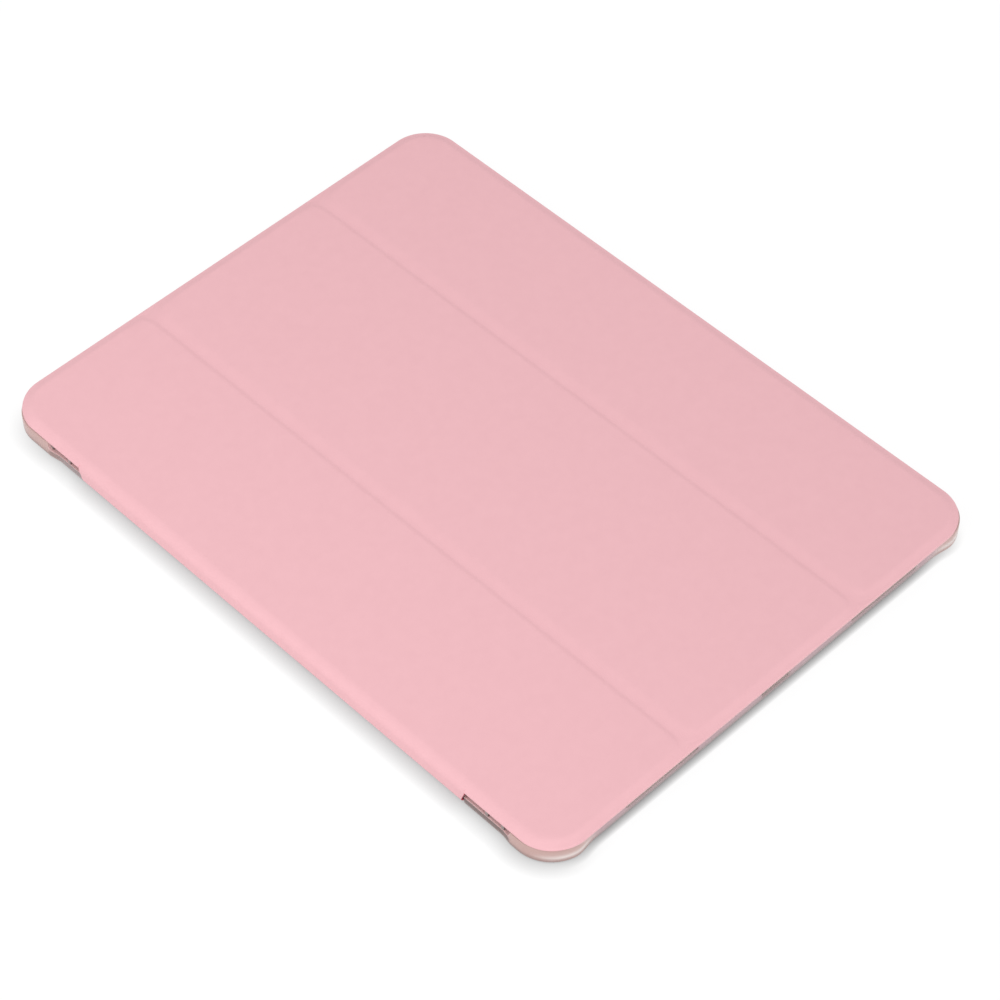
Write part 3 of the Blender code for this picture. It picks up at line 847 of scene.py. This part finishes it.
def ribbon(name, first, last, outer, inner, mat, inset=0.0):
    """A closed strip along the spine path, between two depths under its outer face."""
    shares = [-1.0 + 2.0 * k / 40 for k in range(41)]
    points = []
    for depth in (outer, inner):
        for k in range(first, last + 1):
            p = whole[k] + whole_normals[k] * depth
            half = tongue_half(lengths[k]) - inset
            points += [(p.x, half * s, p.y) for s in shares]
    n = len(shares)
    count = last - first + 1
    half_points = count * n
    faces = []
    for k in range(count - 1):
        for j in range(n - 1):
            a, b = k * n + j, (k + 1) * n + j
            faces.append((a, a + 1, b + 1, b))
            faces.append((half_points + a, half_points + b, half_points + b + 1, half_points + a + 1))
    cut_from = len(faces)
    for k in range(count - 1):
        a, b = k * n, (k + 1) * n
        faces.append((a, b, half_points + b, half_points + a))
        a, b = a + n - 1, b + n - 1
        faces.append((b, a, half_points + a, half_points + b))
    cut_to = len(faces)
    for j in range(n - 1):
        faces.append((j + 1, j, half_points + j, half_points + j + 1))
        e = (count - 1) * n + j
        faces.append((e, e + 1, half_points + e + 1, half_points + e))
    obj = shade(solid_piece(name, points, faces))
    obj.data.materials.append(mat)
    # The strip's two cut sides get the crimson painted shade.
    obj.data.materials.append(dark_red)
    for face in obj.data.polygons[cut_from:cut_to]:
        face.material_index = 1
    return obj


i0 = 0
i1 = len(upper_bend) - 1
i2 = i1 + len(side_path) - 1
i3 = i2 + len(lower_bend) - 1
i4 = len(whole) - 1


tongue = ribbon("spine_bend_upper", i0, i1, 0.0, LEATHER, pink)
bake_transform(tongue)
spine = ribbon("spine_skin", i1, i2, 0.0, LEATHER, pink)
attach(spine, "spine")
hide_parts("spine_leather")
low_bend = ribbon("spine_bend_lower", i2, i3, 0.0, LEATHER, pink)
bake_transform(low_bend)
strip = ribbon("back_strip_skin", i3, i4, 0.0, LEATHER, pink)
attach(strip, "shell")
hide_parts("back_strip")


# Lining: soft microfibre glued to the inside of the cover, cut a little inside the leather's edge.
# It is pressed in along the two grooves, so that the cover folds there.
def microfibre(name):
    mat = bpy.data.materials.new(name)
    mat.use_nodes = True
    nodes, links = mat.node_tree.nodes, mat.node_tree.links
    bsdf = nodes["Principled BSDF"]
    bsdf.inputs["Roughness"].default_value = 0.95
    bsdf.inputs["Specular IOR Level"].default_value = 0.1
    bsdf.inputs["Sheen Weight"].default_value = 0.3
    place = nodes.new("ShaderNodeTexCoord")
    brushed = nodes.new("ShaderNodeTexNoise")
    brushed.inputs["Scale"].default_value = 45.0
    brushed.inputs["Detail"].default_value = 3.0
    links.new(place.outputs["Object"], brushed.inputs["Vector"])
    nap = nodes.new("ShaderNodeTexNoise")
    nap.inputs["Scale"].default_value = 3500.0
    nap.inputs["Detail"].default_value = 2.0
    links.new(place.outputs["Object"], nap.inputs["Vector"])
    mixed = nodes.new("ShaderNodeMath")
    mixed.operation = "MULTIPLY_ADD"
    mixed.inputs[1].default_value = 0.5
    links.new(nap.outputs["Fac"], mixed.inputs[0])
    links.new(brushed.outputs["Fac"], mixed.inputs[2])
    tint = nodes.new("ShaderNodeMix")
    tint.data_type = "RGBA"
    tint.inputs["A"].default_value = (0.70, 0.42, 0.44, 1.0)
    tint.inputs["B"].default_value = (0.82, 0.56, 0.57, 1.0)
    links.new(mixed.outputs["Value"], tint.inputs["Factor"])
    links.new(tint.outputs["Result"], bsdf.inputs["Base Color"])
    bump = nodes.new("ShaderNodeBump")
    bump.inputs["Strength"].default_value = 0.4
    bump.inputs["Distance"].default_value = 0.05 * MM
    links.new(nap.outputs["Fac"], bump.inputs["Height"])
    links.new(bump.outputs["Normal"], bsdf.inputs["Normal"])
    return mat


soft_pink = microfibre("microfibre")
LINING_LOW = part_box("panel_2_lining")[0].z
LINING_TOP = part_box("panel_2_lining")[1].z
LINING_PRESS = 0.15 * MM
LINING_IN = 0.1 * MM
LINING_ROLL = 0.3 * MM
LINING_ROLL_WIDE = 0.9 * MM


def lining_top(x, y):
    return np.full_like(x, LINING_TOP)


def lining_face(x, y):
    press = np.zeros_like(x)
    for left, right in grooves:
        press = press + LINING_PRESS * smoothstep(groove_reach(x, left, right) / GROOVE_STEEP)
    near_edge = smoothstep(1.0 - edge_distance(x, y) / LINING_ROLL_WIDE)
    return LINING_LOW + press - LINING_ROLL * near_edge * smoothstep((x + 92.0 * MM) / (3.0 * MM))


def inset_lining(piece):
    for v in piece.data.vertices:
        near_edge = float(smoothstep((abs(v.co.x) - 0.08) / (14.0 * MM)))
        if v.co.x > 0.0:
            v.co.x -= LINING_IN * near_edge
        elif abs(v.co.y) > SPINE_HALF - 0.01 * MM:
            v.co.x += (WRAP_OUT + 2.0 * LINING_IN) * near_edge
        v.co.y *= 1.0 - LINING_IN / COVER_Y
    return piece


for k, (name, body, child, node) in enumerate(pieces):
    skip = tongue_place if name == "panel_1_skin" else None
    title = name.replace("skin", "microfibre")
    piece = inset_lining(cover_piece(title, seams[k], seams[k + 1], lining_top, lining_face, soft_pink, skip))
    fasten(piece, body, child, node.replace("leather", "lining") if node else None)

GLUE = 0.05 * MM
LINING = 0.4 * MM
inside_top = ribbon("spine_microfibre_upper", i0, i1, LEATHER + GLUE, LEATHER + GLUE + LINING, soft_pink, LINING_IN)
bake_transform(inside_top)
inside = ribbon("spine_microfibre", i1, i2, LEATHER + GLUE, LEATHER + GLUE + LINING, soft_pink, LINING_IN)
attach(inside, "spine")
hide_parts("spine_lining")


# Boards: three plates of grey pressed board inside the cover, each under its own panel of leather.
# They keep the panels flat, and the bare leather between them bends.
def pressed_board(name):
    mat = bpy.data.materials.new(name)
    mat.use_nodes = True
    nodes, links = mat.node_tree.nodes, mat.node_tree.links
    bsdf = nodes["Principled BSDF"]
    bsdf.inputs["Roughness"].default_value = 0.9
    place = nodes.new("ShaderNodeTexCoord")
    fibre = nodes.new("ShaderNodeTexNoise")
    fibre.inputs["Scale"].default_value = 700.0
    fibre.inputs["Detail"].default_value = 6.0
    links.new(place.outputs["Object"], fibre.inputs["Vector"])
    tint = nodes.new("ShaderNodeMix")
    tint.data_type = "RGBA"
    tint.inputs["A"].default_value = (0.42, 0.39, 0.35, 1.0)
    tint.inputs["B"].default_value = (0.62, 0.59, 0.54, 1.0)
    links.new(fibre.outputs["Fac"], tint.inputs["Factor"])
    links.new(tint.outputs["Result"], bsdf.inputs["Base Color"])
    return mat


def dress(node, mat):
    mesh = frame["nodes"][node].data
    mesh.materials.clear()
    mesh.materials.append(mat)


grey_board = pressed_board("stiff_board")
for n in (1, 2, 3):
    dress(f"panel_{n}_board", grey_board)


# Magnets and keeper: four nickel-plated bar magnets in the free edge of panel 3, and a thin steel strip in
# panel 1 that they hold when the cover is rolled into a stand. They lie in pockets cut in the boards.
def plated_steel(name):
    mat = bpy.data.materials.new(name)
    mat.use_nodes = True
    nodes, links = mat.node_tree.nodes, mat.node_tree.links
    bsdf = nodes["Principled BSDF"]
    bsdf.inputs["Metallic"].default_value = 1.0
    place = nodes.new("ShaderNodeTexCoord")
    lines = nodes.new("ShaderNodeMapping")
    lines.inputs["Scale"].default_value = (4000.0, 60.0, 4000.0)
    links.new(place.outputs["Object"], lines.inputs["Vector"])
    brush = nodes.new("ShaderNodeTexNoise")
    brush.inputs["Scale"].default_value = 1.0
    links.new(lines.outputs["Vector"], brush.inputs["Vector"])
    tint = nodes.new("ShaderNodeMix")
    tint.data_type = "RGBA"
    tint.inputs["A"].default_value = (0.55, 0.55, 0.56, 1.0)
    tint.inputs["B"].default_value = (0.70, 0.69, 0.68, 1.0)
    links.new(brush.outputs["Fac"], tint.inputs["Factor"])
    links.new(tint.outputs["Result"], bsdf.inputs["Base Color"])
    gloss = nodes.new("ShaderNodeMapRange")
    gloss.inputs["To Min"].default_value = 0.25
    gloss.inputs["To Max"].default_value = 0.4
    links.new(brush.outputs["Fac"], gloss.inputs["Value"])
    links.new(gloss.outputs["Result"], bsdf.inputs["Roughness"])
    return mat


nickel = plated_steel("plated_steel")
dress("panel_1_keeper", nickel)
for n in (1, 2, 3, 4):
    dress(f"panel_3_magnet_{n}", nickel)


# Adhesive film: a thin sheet of clear-cream glue tape that holds the back strip in its recess.
def adhesive(name):
    mat = bpy.data.materials.new(name)
    mat.use_nodes = True
    nodes, links = mat.node_tree.nodes, mat.node_tree.links
    bsdf = nodes["Principled BSDF"]
    bsdf.inputs["Roughness"].default_value = 0.5
    place = nodes.new("ShaderNodeTexCoord")
    bubbles = nodes.new("ShaderNodeTexNoise")
    bubbles.inputs["Scale"].default_value = 300.0
    links.new(place.outputs["Object"], bubbles.inputs["Vector"])
    tint = nodes.new("ShaderNodeMix")
    tint.data_type = "RGBA"
    tint.inputs["A"].default_value = (0.84, 0.81, 0.74, 1.0)
    tint.inputs["B"].default_value = (0.90, 0.88, 0.82, 1.0)
    links.new(bubbles.outputs["Fac"], tint.inputs["Factor"])
    links.new(tint.outputs["Result"], bsdf.inputs["Base Color"])
    return mat


dress("strip_adhesive", adhesive("adhesive_tape"))


# Stage: a plain white floor with a little real shadow and a soft shadow painted into its glow along the spine and
# port sides, even light from all round, a large soft light on the left and one in front, and the camera at the
# photograph's viewing angle.
FLOOR_HALF = 4.0
FLOOR_Z = -0.02 * MM
FLOOR_WHITE = 0.9
FLOOR_GLOW = 0.92
FLOOR_LIT = 0.10
SKY = 0.735

floor = solid_piece("floor", [
    (-FLOOR_HALF, -FLOOR_HALF, FLOOR_Z), (FLOOR_HALF, -FLOOR_HALF, FLOOR_Z),
    (FLOOR_HALF, FLOOR_HALF, FLOOR_Z), (-FLOOR_HALF, FLOOR_HALF, FLOOR_Z),
], [(0, 1, 2, 3)])
floor_mat = bpy.data.materials.new("white_floor")
floor_mat.use_nodes = True
nodes, links = floor_mat.node_tree.nodes, floor_mat.node_tree.links
nodes.remove(nodes["Principled BSDF"])
diffuse = nodes.new("ShaderNodeBsdfDiffuse")
diffuse.inputs["Color"].default_value = (FLOOR_WHITE, FLOOR_WHITE, FLOOR_WHITE, 1.0)
glow = nodes.new("ShaderNodeEmission")
ray = nodes.new("ShaderNodeLightPath")


def seen_rays(tree, ray):
    """One where a camera, glossy or transmission ray meets the surface, else zero."""
    seen = ray.outputs["Is Camera Ray"]
    for kind in ("Is Glossy Ray", "Is Transmission Ray"):
        either = tree.nodes.new("ShaderNodeMath")
        either.operation = "MAXIMUM"
        tree.links.new(seen, either.inputs[0])
        tree.links.new(ray.outputs[kind], either.inputs[1])
        seen = either.outputs["Value"]
    return seen


seen = seen_rays(floor_mat.node_tree, ray)
lit = nodes.new("ShaderNodeMapRange")
lit.inputs["To Min"].default_value = FLOOR_WHITE
lit.inputs["To Max"].default_value = FLOOR_LIT
links.new(seen, lit.inputs["Value"])
links.new(lit.outputs["Result"], diffuse.inputs["Color"])


def eased(value, far, near):
    """One past the near place and zero past the far one, with a soft run between them."""
    node = nodes.new("ShaderNodeMapRange")
    node.interpolation_type = "SMOOTHSTEP"
    node.inputs["From Min"].default_value = far
    node.inputs["From Max"].default_value = near
    links.new(value, node.inputs["Value"])
    return node.outputs["Result"]


def product(a, b):
    node = nodes.new("ShaderNodeMath")
    node.operation = "MULTIPLY"
    links.new(a, node.inputs[0])
    if isinstance(b, float):
        node.inputs[1].default_value = b
    else:
        links.new(b, node.inputs[1])
    return node.outputs["Value"]


def shadow(reach, lean, depth):
    """How much light is left on the floor beside something nearer than the reach."""
    nearby = nodes.new("ShaderNodeAmbientOcclusion")
    nearby.inputs["Distance"].default_value = reach
    towards = nodes.new("ShaderNodeCombineXYZ")
    for axis, value in zip("XYZ", Vector(lean).normalized()):
        towards.inputs[axis].default_value = value
    links.new(towards.outputs["Vector"], nearby.inputs["Normal"])
    lost = nodes.new("ShaderNodeMath")
    lost.operation = "SUBTRACT"
    lost.inputs[0].default_value = 1.0
    links.new(nearby.outputs["AO"], lost.inputs[1])
    left = nodes.new("ShaderNodeMath")
    left.operation = "SUBTRACT"
    left.inputs[0].default_value = 1.0
    links.new(product(lost.outputs["Value"], depth), left.inputs[1])
    return left.outputs["Value"]


# Painted shadow: near the case the floor's glow is dimmed by short ambient-occlusion reaches. The shadow is narrow
# and deep along the port side, wider along the spine side, and full under the case.
floor_place = nodes.new("ShaderNodeTexCoord")
floor_axes = nodes.new("ShaderNodeSeparateXYZ")
links.new(floor_place.outputs["Object"], floor_axes.inputs["Vector"])
spine_shadow_share = product(
    eased(floor_axes.outputs["X"], -0.068, -0.093), eased(floor_axes.outputs["Y"], 0.148, 0.088),
)
port_shadow_share = product(
    eased(floor_axes.outputs["X"], -0.095, -0.071), eased(floor_axes.outputs["X"], 0.098, 0.064),
)
level = product(seen, shadow(2.65 * MM, (0.0, 0.72, 0.69), product(port_shadow_share, 0.88)))
level = product(level, shadow(6.3 * MM, (0.40, 0.0, 0.92), product(spine_shadow_share, 0.58)))
covered = nodes.new("ShaderNodeAmbientOcclusion")
covered.inputs["Distance"].default_value = 40.0 * MM
level = product(level, eased(covered.outputs["AO"], 0.04, 0.16))
strength = nodes.new("ShaderNodeMath")
strength.operation = "MULTIPLY"
strength.inputs[1].default_value = FLOOR_GLOW
links.new(level, strength.inputs[0])
links.new(strength.outputs["Value"], glow.inputs["Strength"])
both = nodes.new("ShaderNodeAddShader")
links.new(diffuse.outputs["BSDF"], both.inputs[0])
links.new(glow.outputs["Emission"], both.inputs[1])
below = nodes.new("ShaderNodeAmbientOcclusion")
below.inside = True
below.inputs["Distance"].default_value = 30.0 * MM
clear_floor = nodes.new("ShaderNodeMath")
clear_floor.operation = "MAXIMUM"
links.new(eased(below.outputs["AO"], 0.97, 0.75), clear_floor.inputs[0])
links.new(nodes.new("ShaderNodeNewGeometry").outputs["Backfacing"], clear_floor.inputs[1])
opening = nodes.new("ShaderNodeMixShader")
links.new(clear_floor.outputs["Value"], opening.inputs["Fac"])
links.new(both.outputs["Shader"], opening.inputs[1])
links.new(nodes.new("ShaderNodeBsdfTransparent").outputs["BSDF"], opening.inputs[2])
links.new(opening.outputs["Shader"], nodes["Material Output"].inputs["Surface"])
floor.data.materials.append(floor_mat)

world = bpy.data.worlds.new("studio")
bpy.context.scene.world = world
world.use_nodes = True
sky = world.node_tree.nodes["Background"]
ray = world.node_tree.nodes.new("ShaderNodeLightPath")
level = world.node_tree.nodes.new("ShaderNodeMapRange")
level.inputs["To Min"].default_value = SKY
level.inputs["To Max"].default_value = 1.0
world.node_tree.links.new(seen_rays(world.node_tree, ray), level.inputs["Value"])
world.node_tree.links.new(level.outputs["Result"], sky.inputs["Strength"])
sky.inputs["Color"].default_value = (1.0, 1.0, 1.0, 1.0)


def soft_light(name, place, size, power):
    lamp = bpy.data.lights.new(name, "AREA")
    lamp.shape = "SQUARE"
    lamp.size = size
    lamp.energy = power
    obj = bpy.data.objects.new(name, lamp)
    obj.location = place
    obj.rotation_euler = (-Vector(place)).to_track_quat("-Z", "Y").to_euler()
    bpy.context.scene.collection.objects.link(obj)


soft_light("left_light", (-0.44, 0.0, 0.46), 0.5, 1.17)
soft_light("front_light", (-0.50, -4.50, 1.75), 2.5, 50.0)

CAMERA_AT = (-0.47753, -0.49767, 0.80492)
AZIMUTH = math.radians(-44.2426)
ELEVATION = math.radians(49.8609)
ROLL = math.radians(0.2383)
LENS = 117.65
lens = bpy.data.cameras.new("camera")
lens.lens = LENS
lens.sensor_width = 36.0
camera = bpy.data.objects.new("camera", lens)
back = Vector((
    math.sin(AZIMUTH) * math.cos(ELEVATION), -math.cos(AZIMUTH) * math.cos(ELEVATION), math.sin(ELEVATION),
))
turn = (-back).to_track_quat("-Z", "Y").to_matrix() @ Matrix.Rotation(-ROLL, 3, "Z")
camera.matrix_world = Matrix.Translation(CAMERA_AT) @ turn.to_4x4()
bpy.context.scene.collection.objects.link(camera)
bpy.context.scene.camera = camera
bpy.context.scene.view_settings.view_transform = "Standard"
